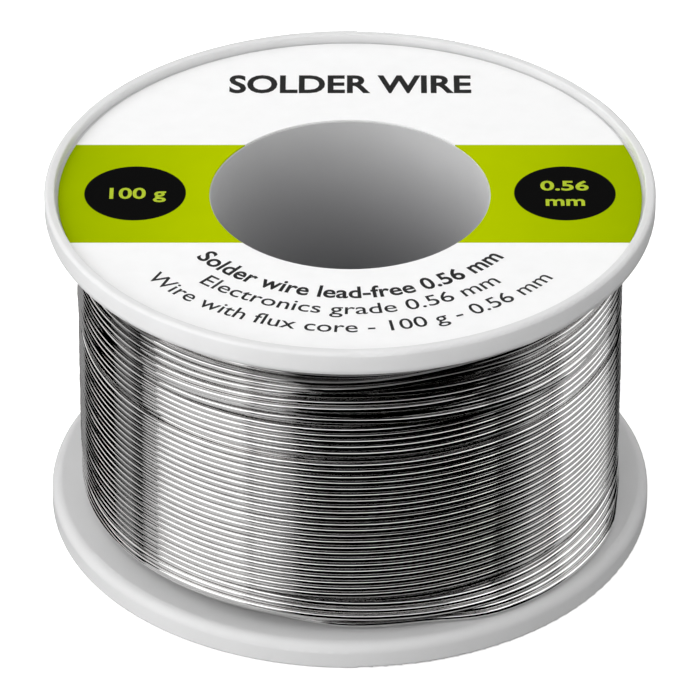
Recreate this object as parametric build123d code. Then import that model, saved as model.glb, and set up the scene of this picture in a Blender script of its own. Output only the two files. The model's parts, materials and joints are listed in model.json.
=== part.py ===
from build123d import *
import math
import os

# A spool of solder wire standing on its lower flange.
# Millimetres, +Z up along the bore; the origin is the centre of the lower rim plane.

# ---- spool: driving dimensions ----
FLANGE_D = 53.0  # over the rim of either flange
SPOOL_H = 32.5  # from rim plane to rim plane
FLANGE_T = 2.5  # flange thickness at the rim
BARREL_D = 37.8  # the cylinder that the wire is wound on
BORE_D = 24.2  # spindle bore, right through
WALL_T = 1.2  # barrel wall and bore tube wall

LIP_W = 0.9  # raised lip round the label recess
RECESS = 0.9  # depth of the label recess below the lip
RIM_R = 0.35  # rounding of the rim edge on the flange's outer face
RIM_INNER_R = 0.9  # rounding of the rim edge on the winding side
LIP_R = 0.15  # rounding of the lip's inner edge
BORE_EDGE = 0.05  # break of the bore's sharp edge

# ---- joint between the two spool halves ----
MID_Z = SPOOL_H / 2
SPIGOT_H = 1.5  # spigot height above the joint plane
FIT_GAP = 0.05  # radial clearance of the spigot and the pins
END_GAP = 0.1  # axial clearance beyond the spigot and the pins
WEB_COUNT = 6
WEB_T = 1.0
FLOOR_Z = 2.1  # bottom of the hollow between bore tube and barrel
BOSS_R = 1.6
PIN_R = 0.8
PIN_H = 2.4

# ---- labels ----
LABEL_T = 0.12
LABEL_GAP = 0.3  # bare ring between the label and the lip
LABEL_EDGE = 0.05  # the same between the label and the bore's edge

# ---- wire ----
WIRE_D = 0.56
FLUX_D = 0.2  # flux core of the wire
PITCH = 0.59  # axial spacing of neighbouring turns
# Full layers alternate between 46 and 45 turns; the last two stop short of the flanges.
LAYER_TURNS = [46, 45, 46, 45, 46, 45, 46, 45, 43, 40]
ANCHOR_HOLE_D = 1.0
ANCHOR_Z = 3.6
TAIL_BEND_R = 1.0
TAIL_RISE = 3.0
FREE_END_Z = 5.2  # height at which the loose end lies on the last layer
FREE_END_SWEEP = 50.0  # degrees of arc that the loose end covers
FREE_END_START = 110.0  # its angle from +X, just past the back
LAY_GAP = 0.02  # the loose end rests on the turns with this much air

# ---- worked out from those ----
FLANGE_R = FLANGE_D / 2
RECESS_R = FLANGE_R - LIP_W
BORE_R = BORE_D / 2
TUBE_R = BORE_R + WALL_T
BARREL_R = BARREL_D / 2
HOLLOW_R = BARREL_R - WALL_T
SPIGOT_R = HOLLOW_R + WALL_T / 2
BOSS_PITCH_R = (TUBE_R + HOLLOW_R) / 2
LAYER_STEP = math.sqrt(WIRE_D**2 - (PITCH / 2) ** 2)  # turns nest in the grooves below
WOUND_R = BARREL_R + WIRE_D + (len(LAYER_TURNS) - 1) * LAYER_STEP


def turned(outline):
    """A solid of revolution about Z from (radius, height, corner rounding) points."""
    points = [(r, 0, z) for r, z, rounding in outline]
    corners = [rounding for r, z, rounding in outline]
    edge = FilletPolyline(*points, radius=corners, close=True)
    return revolve(make_face(edge.edges()), Axis.Z)


def ring(inner_r, outer_r, low_z, high_z):
    """A plain ring about Z."""
    return turned([(inner_r, low_z, 0), (outer_r, low_z, 0), (outer_r, high_z, 0), (inner_r, high_z, 0)])


def post(radius, low_z, high_z, angle):
    """A round post between two heights, on the boss circle at an angle in degrees."""
    height = high_z - low_z
    place = Rot(0, 0, angle) * Pos(BOSS_PITCH_R, 0, low_z + height / 2)
    return place * Cylinder(radius, height)


def half_shell(joint_outline):
    """Flange, half of the barrel and half of the bore tube, with the given barrel joint outline."""
    outline = [
        (BORE_R + BORE_EDGE, RECESS, 0),
        (RECESS_R, RECESS, 0),
        (RECESS_R, 0, LIP_R),
        (FLANGE_R, 0, RIM_R),
        (FLANGE_R, FLANGE_T, RIM_INNER_R),
        (BARREL_R, FLANGE_T, 0),
        *joint_outline,
        (HOLLOW_R, FLOOR_Z, 0),
        (TUBE_R, FLOOR_Z, 0),
        (TUBE_R, MID_Z, 0),
        (BORE_R, MID_Z, 0),
        (BORE_R, RECESS + BORE_EDGE, 0),
    ]
    return turned(outline)


def webs_and_bosses():
    """Webs across the hollow from its floor to the joint plane, with a boss on every second one."""
    bite = WALL_T / 2  # how far each web runs into the walls that it joins
    length = HOLLOW_R - TUBE_R + 2 * bite
    height = MID_Z - FLOOR_Z + bite
    web = Pos(BOSS_PITCH_R, 0, MID_Z - height / 2) * Box(length, WEB_T, height)
    pieces = [Rot(0, 0, 360 * i / WEB_COUNT) * web for i in range(WEB_COUNT)]
    pieces += [post(BOSS_R, FLOOR_Z - bite, MID_Z, angle) for angle in pin_angles()]
    return pieces


def pin_angles():
    """The angles, in degrees, of the webs that carry a locating pin."""
    return [360 * i / WEB_COUNT for i in range(0, WEB_COUNT, 2)]


def anchor_hole():
    """The small radial hole at the back of the barrel for the start of the wire."""
    drill = Cylinder(ANCHOR_HOLE_D / 2, 2 * WALL_T, rotation=(90, 0, 0))
    return Pos(0, BARREL_R - WALL_T / 2, ANCHOR_Z) * drill


def lower_half():
    """Lower spool half: a spigot round the joint, three locating pins, and the anchor hole."""
    joint = [
        (BARREL_R, MID_Z, 0),
        (SPIGOT_R, MID_Z, 0),
        (SPIGOT_R, MID_Z + SPIGOT_H, 0),
        (HOLLOW_R, MID_Z + SPIGOT_H, 0),
    ]
    half = half_shell(joint)
    for piece in webs_and_bosses():
        half += piece
    for angle in pin_angles():
        half += post(PIN_R, MID_Z - PIN_H, MID_Z + PIN_H, angle)
    return half - anchor_hole()


def upper_half():
    """Upper spool half: a socket for the spigot and three pin holes, mirrored into place."""
    socket_r = SPIGOT_R + FIT_GAP
    socket_z = MID_Z - SPIGOT_H - END_GAP
    joint = [
        (BARREL_R, MID_Z, 0),
        (socket_r, MID_Z, 0),
        (socket_r, socket_z, 0),
        (HOLLOW_R, socket_z, 0),
    ]
    half = half_shell(joint)
    for piece in webs_and_bosses():
        half += piece
    half -= ring(SPIGOT_R - WALL_T, socket_r, socket_z, MID_Z)
    for angle in pin_angles():
        half -= post(PIN_R + FIT_GAP, MID_Z - PIN_H - END_GAP, MID_Z, angle)
    return mirror(half, about=Plane.XY.offset(MID_Z))


def label(low_z):
    """A disc label with a hole for the bore, lying in a flange recess."""
    return ring(BORE_R + BORE_EDGE + LABEL_EDGE, RECESS_R - LABEL_GAP, low_z, low_z + LABEL_T)


def layer_radius(index):
    """Radius of the wire's centre line in a layer, counted from 0 at the barrel."""
    return BARREL_R + WIRE_D / 2 + index * LAYER_STEP


def layer_bounds(index):
    """The cylinders that a layer's closed solid fills, each half way to the next layer."""
    inner = BARREL_R if index == 0 else layer_radius(index) - LAYER_STEP / 2
    return inner, layer_radius(index) + LAYER_STEP / 2


def plain_layer(index):
    """The closed outer shape of one buried layer of turns."""
    inner, outer = layer_bounds(index)
    reach = LAYER_TURNS[index] * PITCH / 2
    return ring(inner, outer, MID_Z - reach, MID_Z + reach)


def outer_layer(index):
    """The last layer, with a rounded bulge for each turn on its outer side."""
    inner, _ = layer_bounds(index)
    turns = LAYER_TURNS[index]
    groove_r = layer_radius(index) + math.sqrt((WIRE_D / 2) ** 2 - (PITCH * 0.4) ** 2)
    crest_r = layer_radius(index) + WIRE_D / 2
    low = MID_Z - turns * PITCH / 2
    edges = []
    for turn in range(turns):
        z = low + turn * PITCH
        bulge = [(groove_r, 0, z), (crest_r, 0, z + PITCH / 2), (groove_r, 0, z + PITCH)]
        edges.append(ThreePointArc(*bulge))
    high = low + turns * PITCH
    edges.append(Polyline((groove_r, 0, high), (inner, 0, high), (inner, 0, low), (groove_r, 0, low)))
    return revolve(make_face(Curve() + edges), Axis.Z)


def start_tail():
    """The start of the wire: in through the anchor hole, then bent up inside the hollow."""
    rise_y = BARREL_R - WALL_T - 2 * TAIL_BEND_R
    outside = (0, BARREL_R, ANCHOR_Z)
    corner = (0, rise_y, ANCHOR_Z)
    end = (0, rise_y, ANCHOR_Z + TAIL_BEND_R + TAIL_RISE)
    route = FilletPolyline(outside, corner, end, radius=TAIL_BEND_R)
    start = Plane(origin=outside, x_dir=(1, 0, 0), z_dir=(0, -1, 0))
    return sweep(start * Circle(WIRE_D / 2), route)


def free_end_arc(section):
    """A section carried round the outside of the last layer, near the back."""
    place = Pos(WOUND_R + WIRE_D / 2 + LAY_GAP, 0, FREE_END_Z) * Rot(90, 0, 0)
    arc = revolve(place * section, Axis.Z, revolution_arc=FREE_END_SWEEP)
    return Rot(0, 0, FREE_END_START) * arc


def free_end():
    """The loose end of the wire, a tube round its flux core."""
    return free_end_arc(Circle(WIRE_D / 2) - Circle(FLUX_D / 2))


def flux_core():
    """The flux inside the loose end."""
    return free_end_arc(Circle(FLUX_D / 2))


def wire_length():
    """Length of the whole winding in metres."""
    return sum(2 * math.pi * layer_radius(i) * turns for i, turns in enumerate(LAYER_TURNS)) / 1000


def nodes():
    """Every separate piece, by name."""
    last = len(LAYER_TURNS) - 1
    pieces = {
        "lower_spool_half": lower_half(),
        "upper_spool_half": upper_half(),
        "bottom_label": label(RECESS - LABEL_T),
        "top_label": label(SPOOL_H - RECESS),
        "solder_start_tail": start_tail(),
        "solder_free_end": free_end(),
        "flux_core": flux_core(),
    }
    for index in range(last):
        pieces[f"solder_layer_{index + 1:02d}"] = plain_layer(index)
    pieces[f"solder_layer_{last + 1:02d}"] = outer_layer(last)
    return pieces


os.makedirs("parts", exist_ok=True)
for name, shape in nodes().items():
    export_step(shape, f"parts/{name}.step")
print("wire length", round(wire_length(), 2), "m")
print("wound diameter", round(2 * WOUND_R, 2), "mm")
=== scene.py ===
"""Looks of a small spool of solder wire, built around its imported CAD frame. All in metres."""

import json
import math

import bpy
import numpy as np
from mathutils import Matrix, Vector


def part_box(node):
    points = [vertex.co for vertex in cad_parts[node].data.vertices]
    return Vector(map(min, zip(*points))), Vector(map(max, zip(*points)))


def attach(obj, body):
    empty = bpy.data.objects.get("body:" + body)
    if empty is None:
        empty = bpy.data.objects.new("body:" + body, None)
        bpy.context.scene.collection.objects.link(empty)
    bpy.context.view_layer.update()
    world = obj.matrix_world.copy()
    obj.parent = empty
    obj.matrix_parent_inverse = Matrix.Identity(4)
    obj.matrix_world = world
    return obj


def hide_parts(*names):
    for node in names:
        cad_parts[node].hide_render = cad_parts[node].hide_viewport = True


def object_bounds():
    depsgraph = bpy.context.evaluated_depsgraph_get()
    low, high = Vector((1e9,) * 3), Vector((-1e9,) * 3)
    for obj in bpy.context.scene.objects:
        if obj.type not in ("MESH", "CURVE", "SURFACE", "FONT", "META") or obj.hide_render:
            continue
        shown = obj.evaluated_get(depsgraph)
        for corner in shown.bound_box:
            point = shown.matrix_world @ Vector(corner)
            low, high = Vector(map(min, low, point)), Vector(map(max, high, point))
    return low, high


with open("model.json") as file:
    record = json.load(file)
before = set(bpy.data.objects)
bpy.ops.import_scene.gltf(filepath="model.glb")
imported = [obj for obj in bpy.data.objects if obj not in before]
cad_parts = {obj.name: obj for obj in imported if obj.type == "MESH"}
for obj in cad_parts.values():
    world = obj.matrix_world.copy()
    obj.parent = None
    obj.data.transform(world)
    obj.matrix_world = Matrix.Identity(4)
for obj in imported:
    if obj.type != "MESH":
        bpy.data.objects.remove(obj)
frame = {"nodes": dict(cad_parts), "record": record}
cad_low, cad_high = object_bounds()

# ---- sizes -----------------------------------------------------------------------------------
MM = 0.001
WIRE_R = 0.28 * MM
FLUX_R = 0.1 * MM
PITCH = 0.59 * MM
FLANGE_T = 2.5 * MM
FLANGE_R = cad_high.x
MID_Z = (cad_low.z + cad_high.z) / 2
BORE_R = frame["record"]["mounts"][0]["dims"]["r_mm"] * MM
LABEL_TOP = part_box("top_label")[1]
LAYERS = sorted(name for name in frame["nodes"] if name.startswith("solder_layer_"))
LAST = len(LAYERS) - 1
LAYER_EDGES = [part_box(name)[1].x for name in LAYERS]
LAYER_STEP = LAYER_EDGES[1] - LAYER_EDGES[0]
LAYER_RADII = [LAYER_EDGES[0] - LAYER_STEP / 2 + i * LAYER_STEP for i in range(len(LAYERS))]

# ---- the lay of the winding ------------------------------------------------------------------
SAMPLES = 144  # points per turn
START_ANGLE = math.radians(108)  # where each turn begins, at the back
JOG_SHARE = 0.12  # the last part of each turn, in which it steps over to the next one
LOOSE_FROM = 7  # layers from this one on are laid by contact with the turns below them

# Heights below are in pitches above mid-height. The last layer starts with seven loose turns
# under the upper flange and ends with five on the lower one. Each is listed across the front, from
# left to right.
FRONT_SPOTS = [-40, -20, 0, 20, 40]  # degrees round from the front
BACK_SPOTS = [90, 180, 270]
LOOSE_TOP = [
    [18.9, 19.1, 19.1, 20.4, 20.0],
    [17.7, 17.9, 18.5, 19.2, 18.3],
    [16.3, 16.9, 17.4, 17.0, 16.4],
    [14.9, 15.5, 16.0, 15.6, 15.2],
    [14.2, 14.8, 15.3, 14.7, 14.0],
    [13.2, 13.9, 13.9, 13.4, 12.7],
    [12.2, 12.6, 12.9, 12.6, 11.9],
]
LOOSE_BOTTOM = [
    [-18.8, -18.9, -19.4, -20.1, -20.4],
    [-19.6, -19.7, -20.3, -20.8, -21.0],
    [-20.5, -20.5, -20.9, -21.3, -21.6],
    [-21.7, -21.5, -22.2, -22.2, -22.4],
    [-22.8, -22.8, -22.9, -22.9, -22.9],
]
TOP_BEHIND = [19.4, 18.1, 16.7, 15.4, 14.2, 13.1, 12.05]  # the same turns at the back
BOTTOM_BEHIND = [-18.85, -19.87, -20.89, -21.91, -22.93]
CLOSE_TOP = [11, 10, 9, 8, 7]  # close turns below the loose top ones, over a gap one turn wide
EVEN_PITCH = 1.032  # the even run below the gap is laid a little wider
EVEN_RUN = [4.9 - EVEN_PITCH * i for i in range(23)]
BELOW_TURNS = 43  # in the layer under the last one
BELOW_START = 3.5  # even pitches between its lowest turn and the even run's, so that they nest
BELOW_LAST = [EVEN_RUN[-1] + EVEN_PITCH * (i - BELOW_START) for i in range(BELOW_TURNS)]

STRAY = 0.007 * MM  # how far a turn wanders up or down
STRAY_KEPT = 0.9  # how much of its neighbour's wander it takes over
UNEVEN = 0.012 * MM  # how far the last layer's turns wander in and out
HEIGHT_EASE = 9, 3.0  # reach and width, in samples, of the easing of a loose turn's heights
RADIUS_EASE = 5, 2.0  # and of the outer layers' radii
LOOSE_SAMPLES = 21  # points along the loose end
LOOSE_CLIMB = 2.9 * MM  # how far it climbs
rng = np.random.default_rng(56)


def smooth(x):
    """0 to 1 with no slope at either end."""
    x = np.clip(x, 0, 1)
    return x * x * (3 - 2 * x)


def ease(values, reach, width, ends):
    """Values blended with their neighbours by a bell curve; ends says what lies past the ends."""
    bell = np.exp(-0.5 * (np.arange(-reach, reach + 1) / width) ** 2)
    return np.convolve(np.pad(values, reach, mode=ends), bell / bell.sum(), mode="valid")


def loose_heights(rows, behind):
    """Heights round each loose turn: through its listed ones in front, and even behind."""
    spots = np.array(FRONT_SPOTS + BACK_SPOTS)
    around = np.degrees(START_ANGLE) + 90 + 360 * np.arange(SAMPLES) / SAMPLES
    turns = []
    for row, height in zip(rows, behind):
        line = np.interp(around, spots, row + [height] * len(BACK_SPOTS), period=360)
        turns.append(ease(line, *HEIGHT_EASE, "wrap"))
    return np.array(turns)


def level(steps):
    """The same height all round, for each of a list of turns."""
    return np.repeat(np.array(steps, float)[:, None], SAMPLES, axis=1)


def layer_heights(index):
    """Heights round each of a layer's turns, in the order they are wound."""
    if index == LAST:
        top = loose_heights(LOOSE_TOP, TOP_BEHIND)
        bottom = loose_heights(LOOSE_BOTTOM, BOTTOM_BEHIND)
        steps = np.vstack([top, level(CLOSE_TOP + EVEN_RUN), bottom])
    elif index == LAST - 1:
        steps = level(BELOW_LAST)
    else:
        low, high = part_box(LAYERS[index])
        count = round((high.z - low.z) / PITCH)
        steps = level([i - (count - 1) / 2 for i in range(count)])
        steps = steps if index % 2 == 0 else steps[::-1]
    return MID_Z + steps * PITCH


def waves(count, harmonics, size):
    """Smooth closed wander round a turn, for each of a number of turns."""
    angle = START_ANGLE + 2 * math.pi * np.arange(SAMPLES) / SAMPLES
    total = np.zeros((count, SAMPLES))
    for m in harmonics:
        a, b = rng.normal(0, 1, (2, count, 1))
        total += (a * np.cos(m * angle) + b * np.sin(m * angle)) / m
    return size * total


def wander(count):
    """How far each turn strays up or down, each one following the turn before it."""
    stray = waves(count, (1, 2, 3, 5), STRAY)
    for turn in range(1, count):
        stray[turn] += STRAY_KEPT * stray[turn - 1]
    return stray


def step_over():
    """0 for most of a turn, then rising to 1 over the jog at its end."""
    return smooth((np.arange(SAMPLES) / SAMPLES - 1 + JOG_SHARE) / JOG_SHARE)


def wire_heights():
    """Height at each sample of each turn of the whole wire, and each turn's layer.
    The turn after the last layer's is the loose end, which climbs over the turns below it."""
    layer_of, closed = [], []
    for index in range(len(LAYERS)):
        turns = layer_heights(index)
        layer_of += [index] * len(turns)
        closed.append(turns + wander(len(turns)))
    closed = np.vstack(closed)
    closed = np.vstack([closed, closed[-1:]])
    following = np.vstack([closed[1:], closed[-1:]])
    z = closed + (following - closed) * step_over()
    z[-1] += LOOSE_CLIMB * smooth(np.arange(SAMPLES) / LOOSE_SAMPLES)
    z = np.clip(z, FLANGE_T + WIRE_R, cad_high.z - FLANGE_T - WIRE_R)
    return z, np.array(layer_of + [LAST])


def wire_radii(z, layer_of):
    """Radius at each sample of each turn; the outer layers rest on the turns already laid."""
    uneven = waves(np.count_nonzero(layer_of == LAST), (1, 2, 3), UNEVEN)
    after = np.append(layer_of[1:], layer_of[-1])
    base = np.array(LAYER_RADII)
    r = base[layer_of][:, None] + (base[after] - base[layer_of])[:, None] * step_over()
    for turn in np.flatnonzero(layer_of >= LOOSE_FROM):
        below = slice(np.flatnonzero(layer_of >= layer_of[turn] - 2)[0], turn)
        apart = (2 * WIRE_R) ** 2 - (z[turn] - z[below]) ** 2
        rest = r[below] + np.sqrt(np.clip(apart, 0, None))
        r[turn] = np.where(apart > 0, rest, base[0]).max(axis=0)
    r[layer_of == LAST] += uneven
    eased = ease(r.ravel(), *RADIUS_EASE, "edge").reshape(r.shape)
    return np.where((layer_of >= LOOSE_FROM)[:, None], eased, r)


# ---- mesh helpers ----------------------------------------------------------------------------
def add_object(name, mesh, material, replaced=()):
    """Links a mesh as a named piece of the spool's one body."""
    piece = bpy.data.objects.new(name, mesh)
    bpy.context.scene.collection.objects.link(piece)
    mesh.materials.clear()
    mesh.materials.append(material)
    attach(piece, "root")
    if replaced:
        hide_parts(*replaced)
    return piece


def unit(rows):
    return rows / np.linalg.norm(rows, axis=1, keepdims=True)


def spokes(path, sides):
    """At each point of a path about the Z axis, unit vectors square to the path, all round it."""
    tangent = unit(np.gradient(path, axis=0))
    outward = unit(path * np.array([1.0, 1.0, 0.0]))
    outward = unit(outward - tangent * (outward * tangent).sum(1, keepdims=True))
    upward = np.cross(tangent, outward)
    angle = 2 * math.pi * np.arange(sides) / sides
    cosine, sine = np.cos(angle)[None, :, None], np.sin(angle)[None, :, None]
    return cosine * outward[:, None] + sine * upward[:, None]


def tube_mesh(name, path, radius, sides, inner=0.0):
    """A round wire along a path about the Z axis, closed at both ends; inner leaves a core hole."""
    around = spokes(path, sides)
    count = len(path)
    points = (path[:, None] + radius * around).reshape(-1, 3)
    row = np.arange(count - 1)[:, None] * sides
    col = np.arange(sides)[None, :]
    ahead = (col + 1) % sides
    quads = [row + col, row + ahead, row + sides + ahead, row + sides + col]
    quads = np.stack(quads, axis=-1)
    faces = quads.reshape(-1, 4).tolist()
    if inner:
        bore = (path[:, None] + inner * around).reshape(-1, 3)
        shift = len(points)
        points = np.vstack([points, bore])
        faces += (quads[..., ::-1] + shift).reshape(-1, 4).tolist()
        for start, order in ((0, -1), ((count - 1) * sides, 1)):
            for i in range(sides):
                j = (i + 1) % sides
                rim = [start + i, start + j, shift + start + j, shift + start + i]
                faces.append(rim[::-order])
    else:
        faces.append(list(range(sides))[::-1])
        faces.append([(count - 1) * sides + i for i in range(sides)])
    mesh = bpy.data.meshes.new(name)
    mesh.from_pydata(points.tolist(), [], faces)
    flat_ends = 2 * sides if inner else 2
    flags = np.ones(len(faces), bool)
    flags[-flat_ends:] = False
    mesh.polygons.foreach_set("use_smooth", flags)
    mesh.update()
    return mesh


def layer_path(r, z, turns, every):
    """Points along some whole turns of the wire, with the first point of the turn after them."""
    rr, zz = r[turns].ravel(), z[turns].ravel()
    following = turns[-1] + 1
    if following < len(r):
        rr, zz = np.append(rr, r[following, 0]), np.append(zz, z[following, 0])
    angle = START_ANGLE + 2 * math.pi * np.arange(len(rr)) / SAMPLES
    keep = np.append(np.arange(0, len(rr) - 1, every), len(rr) - 1)
    return np.stack([rr * np.cos(angle), rr * np.sin(angle), zz], axis=1)[keep]


# ---- materials -------------------------------------------------------------------------------
def grey(value):
    return (value, value, value, 1.0)


# Colours in pairs are the two ends of a faint mottling.
PLASTIC = (0.72, 0.72, 0.722, 1), (0.76, 0.76, 0.762, 1)
LOWER_FLANGE_SHADE = (0.61, 0.61, 0.612, 1)  # painted shade that darkens the lower flange, near the floor
BORE_SHADE = (0.37, 0.37, 0.38, 1)  # painted shade on the bore wall, darker the deeper it goes
SOLDER = (0.80, 0.79, 0.785, 1), (0.88, 0.875, 0.87, 1)
FLUX = (0.55, 0.27, 0.05, 1), (0.72, 0.42, 0.10, 1)
PAPER = grey(0.94), grey(0.97)
BAND_GREEN = (0.45, 0.565, 0.0, 1), (0.32, 0.435, 0.0, 1)  # from the bore out to the edge
DISC_DARK = grey(0.005)
INK_DARK = grey(0.008), grey(0.016)
INK_GREEN = (0.42, 0.56, 0.0, 1), (0.50, 0.62, 0.0, 1)
FLOOR = grey(0.93), grey(0.95)


class Nodes:
    """A short way to write a node tree."""

    def __init__(self, name):
        self.material = bpy.data.materials.new(name)
        self.material.use_nodes = True
        self.tree = self.material.node_tree
        self.shader = self.tree.nodes["Principled BSDF"]
        self.place = self.add("ShaderNodeTexCoord").outputs["Object"]

    def add(self, kind, inputs=None, **settings):
        node = self.tree.nodes.new(kind)
        for key, value in settings.items():
            setattr(node, key, value)
        for key, value in (inputs or {}).items():
            self.put(node.inputs[key], value)
        return node

    def put(self, socket, value):
        if isinstance(value, bpy.types.NodeSocket):
            self.tree.links.new(value, socket)
        else:
            socket.default_value = value

    def math(self, operation, *values):
        node = self.add("ShaderNodeMath", operation=operation)
        for socket, value in zip(node.inputs, values):
            self.put(socket, value)
        return node.outputs[0]

    def axes(self):
        """The x, y and z of the shaded point."""
        return self.add("ShaderNodeSeparateXYZ", {"Vector": self.place}).outputs

    def length(self, a, b):
        """How long a flat vector is."""
        squares = self.math("ADD", self.math("POWER", a, 2.0), self.math("POWER", b, 2.0))
        return self.math("SQRT", squares)

    def noise(self, scale, detail=3.0, rough=0.5, stretch=(1, 1, 1)):
        moved = self.add("ShaderNodeMapping", {"Vector": self.place, "Scale": stretch})
        inputs = {"Vector": moved.outputs[0], "Scale": scale, "Detail": detail, "Roughness": rough}
        return self.add("ShaderNodeTexNoise", inputs).outputs["Fac"]

    def span(self, value, low, high, from_low=0.3, from_high=0.7):
        inputs = {0: value, 1: from_low, 2: from_high, 3: low, 4: high}
        return self.add("ShaderNodeMapRange", inputs).outputs[0]

    def mix(self, factor, first, second):
        node = self.add("ShaderNodeMix", data_type="RGBA")
        self.put(node.inputs["Factor"], factor)
        self.put(node.inputs[6], first)
        self.put(node.inputs[7], second)
        return node.outputs[2]

    def bump(self, height, distance, strength=1.0):
        inputs = {"Height": height, "Distance": distance, "Strength": strength}
        self.put(self.shader.inputs["Normal"], self.add("ShaderNodeBump", inputs).outputs[0])

    def set(self, **values):
        for key, value in values.items():
            self.put(self.shader.inputs[key.replace("_", " ")], value)


def plastic_material():
    """White injection-moulded polystyrene: faint mottling, a satin skin and fine handling marks, with
    painted shade on the lower flange and deep in the bore.
    """
    n = Nodes("spool_plastic")
    skin = n.mix(n.span(n.noise(160, 4), 0.0, 1.0), *PLASTIC)
    x, y, z = n.axes()
    # Painted shade: the lower flange is mixed partway towards a darker grey.
    skin = n.mix(n.span(z, 0.5, 0.0, FLANGE_T, 2 * FLANGE_T), skin, LOWER_FLANGE_SHADE)
    # Painted shade: the bore wall is mixed towards a dark grey, more so the deeper it lies.
    wall = n.span(n.length(x, y), 1.0, 0.0, BORE_R + 0.1 * MM, BORE_R + 0.4 * MM)
    depth = n.span(z, 1.0, 0.12, MID_Z, cad_high.z)
    n.set(Base_Color=n.mix(n.math("MULTIPLY", wall, depth), skin, BORE_SHADE))
    n.set(Roughness=n.span(n.noise(900, 5), 0.34, 0.46), IOR=1.5, Specular_IOR_Level=0.2)
    n.set(Subsurface_Weight=0.5, Subsurface_Radius=(1.0, 1.0, 1.0), Subsurface_Scale=1.0 * MM)
    grain = n.math("ADD", n.noise(2600, 3), n.math("MULTIPLY", n.noise(300, 3), 1.5))
    n.bump(grain, 0.006 * MM, 0.5)
    return n.material


def solder_material():
    """Bright drawn tin alloy: streaks along the wire, and slightly duller patches."""
    n = Nodes("solder_wire")
    streak = n.noise(1.0, 4, 0.6, stretch=(90, 90, 14000))
    patch = n.noise(420, 3)
    n.set(Base_Color=n.mix(n.span(patch, 0, 1), *SOLDER), Metallic=1.0)
    n.set(Roughness=n.math("ADD", n.span(streak, 0.03, 0.08), n.span(patch, 0.0, 0.02)))
    n.bump(streak, 0.003 * MM, 0.2)
    return n.material


def label_material(printed):
    """Satin film with a green band across it; a printed one has a dark disc each side of the bore."""
    n = Nodes("label_print" if printed else "label_plain")
    x, y, _ = n.axes()
    across, along = n.math("ABSOLUTE", x), n.math("ABSOLUTE", y)
    edge = 0.03 * MM
    band = n.span(along, 1.0, 0.0, BAND_HALF - edge, BAND_HALF + edge)
    grain = n.span(n.noise(300, 2), 0.0, 0.1)
    fade = n.math("ADD", grain, n.span(across, 0.0, 0.9, BORE_R, LABEL_TOP.x))
    paper = n.mix(n.span(n.noise(500, 4), 0, 1), *PAPER)
    colour = n.mix(band, paper, n.mix(fade, *BAND_GREEN))
    if printed:
        radius = n.length(n.math("SUBTRACT", across, DISC_X), y)
        disc = n.span(radius, 1.0, 0.0, DISC_R - edge, DISC_R + edge)
        colour = n.mix(disc, colour, DISC_DARK)
    n.set(Base_Color=colour, Roughness=n.span(n.noise(1500, 3), 0.38, 0.5))
    n.set(IOR=1.5, Specular_IOR_Level=0.0)
    n.bump(n.noise(5000, 4, 0.6), 0.003 * MM, 0.5)
    return n.material


def ink_material(name, colours):
    """Printing ink, very slightly uneven."""
    n = Nodes(name)
    n.set(Base_Color=n.mix(n.span(n.noise(2500, 3), 0, 1), *colours))
    n.set(Roughness=n.span(n.noise(1800, 3), 0.4, 0.5), IOR=1.5)
    n.bump(n.noise(6000, 3), 0.002 * MM, 0.4)
    return n.material


def flux_material():
    """Amber rosin."""
    n = Nodes("flux_resin")
    n.set(Base_Color=n.mix(n.span(n.noise(4000, 3), 0, 1), *FLUX))
    n.set(Roughness=n.span(n.noise(3000, 3), 0.15, 0.3), IOR=1.54)
    n.set(Subsurface_Weight=0.3, Subsurface_Scale=0.2 * MM)
    return n.material


# ---- label print -----------------------------------------------------------------------------
BAND_HALF = 8.0 * MM
DISC_X, DISC_R = 18.63 * MM, 4.41 * MM
INK_LIFT = 0.008 * MM  # ink stands this far above the label
INK_T = 0.006 * MM
CAPITAL_SHARE = 0.7  # height of a capital in the font, as a share of its size

# Name, words, centre x and y, letter height, line width and extra stroke weight in mm, and ink.
STRAIGHT_LINES = [
    ("title_text", "SOLDER WIRE", 0, 18.3, 2.9, 21.5, 0.11, "dark"),
    ("weight_text", "100 g", -DISC_X / MM, 0, 1.7, 4.9, 0.05, "green"),
    ("gauge_text", "0.56", DISC_X / MM, 1.25, 1.5, 4.2, 0.05, "green"),
    ("unit_text", "mm", DISC_X / MM, -1.25, 1.5, 3.4, 0.05, "green"),
]
# Name, words, radius, letter height and extra stroke weight in mm, and half the arc in degrees.
CURVED_LINES = [
    ("front_text_1", "Solder wire lead-free 0.56 mm", 16.7, 1.75, 0.05, 52),
    ("front_text_2", "Electronics grade 0.56 mm", 19.2, 1.6, 0.01, 42),
    ("front_text_3", "Wire with flux core - 100 g - 0.56 mm", 22.0, 1.6, 0.01, 52),
]


def lettering(name, text, height, weight):
    """A flat line of letters as a mesh, centred on the origin, and the line's width."""
    curve = bpy.data.curves.new(name, "FONT")
    curve.body = text
    curve.align_x = "CENTER"
    curve.size = height / CAPITAL_SHARE
    curve.offset = weight
    curve.extrude = INK_T / 2
    curve.resolution_u = 4
    holder = bpy.data.objects.new(name, curve)
    bpy.context.scene.collection.objects.link(holder)
    bpy.context.view_layer.update()
    depsgraph = bpy.context.evaluated_depsgraph_get()
    mesh = bpy.data.meshes.new_from_object(holder.evaluated_get(depsgraph))
    bpy.data.objects.remove(holder)
    sideways = [v.co.x for v in mesh.vertices]
    return mesh, max(sideways) - min(sideways)


def moved(mesh, place):
    """Moves every point of a mesh by a function of its x, y and z columns."""
    points = np.zeros(len(mesh.vertices) * 3)
    mesh.vertices.foreach_get("co", points)
    columns = place(*points.reshape(-1, 3).T)
    mesh.vertices.foreach_set("co", np.stack(columns, axis=1).ravel())
    mesh.update()
    return mesh


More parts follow.
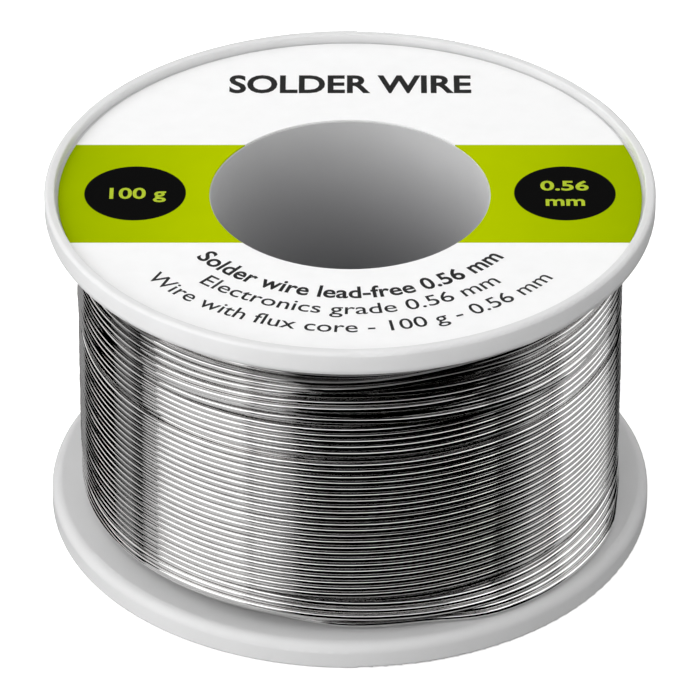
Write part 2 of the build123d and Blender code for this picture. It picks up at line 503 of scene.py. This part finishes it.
def straight_text(name, text, x, y, height, width, weight, material):
    """A straight line of letters on the top label, centred at (x, y) and fitted to a width."""
    mesh, spread = lettering(name, text, height, weight)
    fit = width / spread
    lift = LABEL_TOP.z + INK_LIFT
    moved(mesh, lambda u, v, w: (u * fit + x, v + y - height / 2, w + lift))
    add_object(name, mesh, material)


def curved_text(name, text, radius, height, weight, half_angle, material):
    """Letters along an arc in front of the bore, their tops towards it."""
    mesh, spread = lettering(name, text, height, weight)
    turn = 2 * half_angle / spread
    lift = LABEL_TOP.z + INK_LIFT

    def bend(u, v, w):
        return ((radius - v) * np.sin(u * turn), -(radius - v) * np.cos(u * turn), w + lift)

    add_object(name, moved(mesh, bend), material)


def print_label():
    """All the lettering on the top label: plain words and sizes."""
    inks = {
        "dark": ink_material("ink_dark", INK_DARK),
        "green": ink_material("ink_green", INK_GREEN),
    }
    for name, text, *sizes, ink in STRAIGHT_LINES:
        straight_text(name, text, *(size * MM for size in sizes), inks[ink])
    for name, text, *sizes, half in CURVED_LINES:
        sizes = [size * MM for size in sizes]
        curved_text(name, text, *sizes, math.radians(half), inks["dark"])


# ---- the wire --------------------------------------------------------------------------------
# For each layer, the step between the points that are used, and the sides of its tube. The hidden
# ones are coarse.
DETAIL = [(3, 6)] * 7 + [(2, 8)] + [(1, 12)] * 2
END_SIDES = 16
FLUX_SIDES = 10


def wind_wire(material):
    """One tube mesh for each layer of the wound wire, in place of that layer's closed ring.
    Returns the path of the loose end, which carries on from the last one."""
    z, layer_of = wire_heights()
    r = wire_radii(z, layer_of)
    for index, node in enumerate(LAYERS):
        turns = np.flatnonzero(layer_of[:-1] == index)
        every, sides = DETAIL[index]
        mesh = tube_mesh(f"{node}_turns", layer_path(r, z, turns, every), WIRE_R, sides)
        add_object(f"{node}_turns", mesh, material, [node])
    return layer_path(r, z, [len(r) - 1], 1)[:LOOSE_SAMPLES]


def loose_end(path, wire, flux):
    """The wire's outer end: it climbs across the last turns at the back and stops, cut square."""
    tube = tube_mesh("loose_end", path, WIRE_R, END_SIDES, inner=FLUX_R)
    add_object("loose_end", tube, wire, ["solder_free_end"])
    core = tube_mesh("loose_end_flux", path, FLUX_R, FLUX_SIDES)
    add_object("loose_end_flux", core, flux, ["flux_core"])


# ---- the scene -------------------------------------------------------------------------------
CENTRE = Vector((0, 0, MID_Z))
LENS = 350.9  # mm, on a sensor 36 mm wide
LENS_SHIFT = -0.01084
CAMERA_ELEVATION = 33.3
CAMERA_DISTANCE = 0.6
FILL = 0.08  # radiance of the even light from all round
FLOOR_HALF = 6.0

# Name, azimuth and elevation in degrees, distance, width, height, and radiance.
PLASTIC_LIGHTS = [
    ("left_soft", -72, 28, 0.7, 0.58, 1.05, 1.28),
    ("left_low_soft", -90, -30, 0.7, 0.70, 0.60, 0.3),
    ("right_soft", 105, 32, 0.7, 0.62, 1.05, 1.1),
    ("right_low_soft", 109, -40, 0.7, 0.56, 0.70, 0.36),
    ("rear_left_soft", -130, 45, 0.7, 0.75, 0.60, 0.95),
    ("back_soft", 180, 25, 0.9, 1.90, 0.80, 0.77),
    ("front_soft", 33, 62, 0.9, 1.10, 0.28, 1.25),
    ("top_soft", 180, 86, 0.9, 1.20, 0.90, 0.1),
    ("front_fill", -18, 4, 0.9, 1.00, 1.00, 2.25),
    ("left_fill", -85, 38, 0.9, 1.00, 1.00, 0.5),
]
METAL_LIGHTS = [
    ("left_box", -63, 43, 0.9, 0.66, 0.96, 1.5),
    ("left_low", -63, -25, 0.7, 0.66, 1.17, 0.58),
    ("left_side", -33, 35, 0.9, 0.18, 0.70, 0.6),
    ("left_side_low", -29, -25, 0.7, 0.20, 1.17, 0.18),
    ("left_edge", -101, 35, 0.9, 0.16, 0.80, 0.28),
    ("left_edge_low", -99, -25, 0.7, 0.14, 1.17, 0.14),
    ("rear_left", -136, 45, 0.9, 0.80, 0.70, 0.85),
    ("rear_left_low", -150, -10, 0.7, 0.50, 0.56, 0.3),
    ("right_box", 111, 43, 0.9, 0.58, 0.96, 1.4),
    ("right_low", 110, -25, 0.7, 0.58, 1.17, 0.36),
    ("right_side", 80, 30, 0.9, 0.16, 0.60, 0.55),
    ("rear_right", 160, 30, 0.9, 0.30, 0.60, 0.18),
    ("rear_right_low", 158, -10, 0.7, 0.40, 0.56, 0.24),
    ("back_box", 180, 25, 0.9, 0.50, 0.80, 0.4),
    ("top_front", 25, 62, 0.9, 1.04, 0.28, 1.35),
]


def direction(azimuth, elevation):
    """Unit vector from the spool towards a place; azimuth 0 is the camera's side, 90 is +X."""
    a, e = math.radians(azimuth), math.radians(elevation)
    return Vector((math.sin(a) * math.cos(e), -math.cos(a) * math.cos(e), math.sin(e)))


def set_up(name, data, azimuth, elevation, distance):
    """Stands a camera or a light somewhere round the spool, facing its centre."""
    thing = bpy.data.objects.new(name, data)
    bpy.context.scene.collection.objects.link(thing)
    thing.location = CENTRE + direction(azimuth, elevation) * distance
    thing.rotation_euler = (CENTRE - thing.location).to_track_quat("-Z", "Y").to_euler()
    return thing


def camera():
    data = bpy.data.cameras.new("camera")
    data.lens = LENS
    data.sensor_width = 36
    data.shift_y = LENS_SHIFT
    data.clip_start = 0.01
    thing = set_up("camera", data, 0, CAMERA_ELEVATION, CAMERA_DISTANCE)
    bpy.context.scene.camera = thing


def softbox(name, azimuth, elevation, distance, width, height, radiance):
    """A rectangular light of a given brightness, facing the spool."""
    data = bpy.data.lights.new(name, "AREA")
    data.shape = "RECTANGLE"
    data.size, data.size_y = width, height
    data.energy = radiance * math.pi * width * height
    return set_up(name, data, azimuth, elevation, distance)


def lights():
    """One set of softboxes that metal doesn't mirror, one that only it mirrors, and an even fill."""
    for row in PLASTIC_LIGHTS:
        softbox(*row).visible_glossy = False
    for row in METAL_LIGHTS:
        softbox(*row).visible_diffuse = False
    world = bpy.data.worlds.new("fill")
    world.use_nodes = True
    background = world.node_tree.nodes["Background"].inputs
    background[0].default_value = grey(1.0)
    background[1].default_value = FILL
    world.cycles_visibility.glossy = False
    bpy.context.scene.world = world


def floor():
    """A pale floor that shines plain white, except right under the spool."""
    mesh = bpy.data.meshes.new("floor")
    corners = [(-1, -1), (1, -1), (1, 1), (-1, 1)]
    corners = [(x * FLOOR_HALF, y * FLOOR_HALF, 0) for x, y in corners]
    mesh.from_pydata(corners, [], [(0, 1, 2, 3)])
    thing = bpy.data.objects.new("floor", mesh)
    bpy.context.scene.collection.objects.link(thing)
    n = Nodes("floor")
    x, y, _ = n.axes()
    shine = n.span(n.length(x, y), 0.0, 0.6, 0.8 * FLANGE_R, FLANGE_R)
    n.set(Base_Color=n.mix(n.noise(3, 2), *FLOOR), Roughness=0.9)
    n.set(Emission_Color=grey(1.0), Emission_Strength=shine)
    mesh.materials.append(n.material)
    thing.visible_glossy = False
    thing.visible_diffuse = False
    thing.visible_shadow = False


camera()
lights()
floor()
bpy.context.scene.view_settings.view_transform = "Standard"

plastic = plastic_material()
solder = solder_material()
kept = {
    "lower_spool_half": plastic,
    "upper_spool_half": plastic,
    "top_label": label_material(True),
    "bottom_label": label_material(False),
    "solder_start_tail": solder,
}
for name, material in kept.items():
    frame["nodes"][name].material_slots[0].material = material
loose_end(wind_wire(solder), solder, flux_material())
print_label()
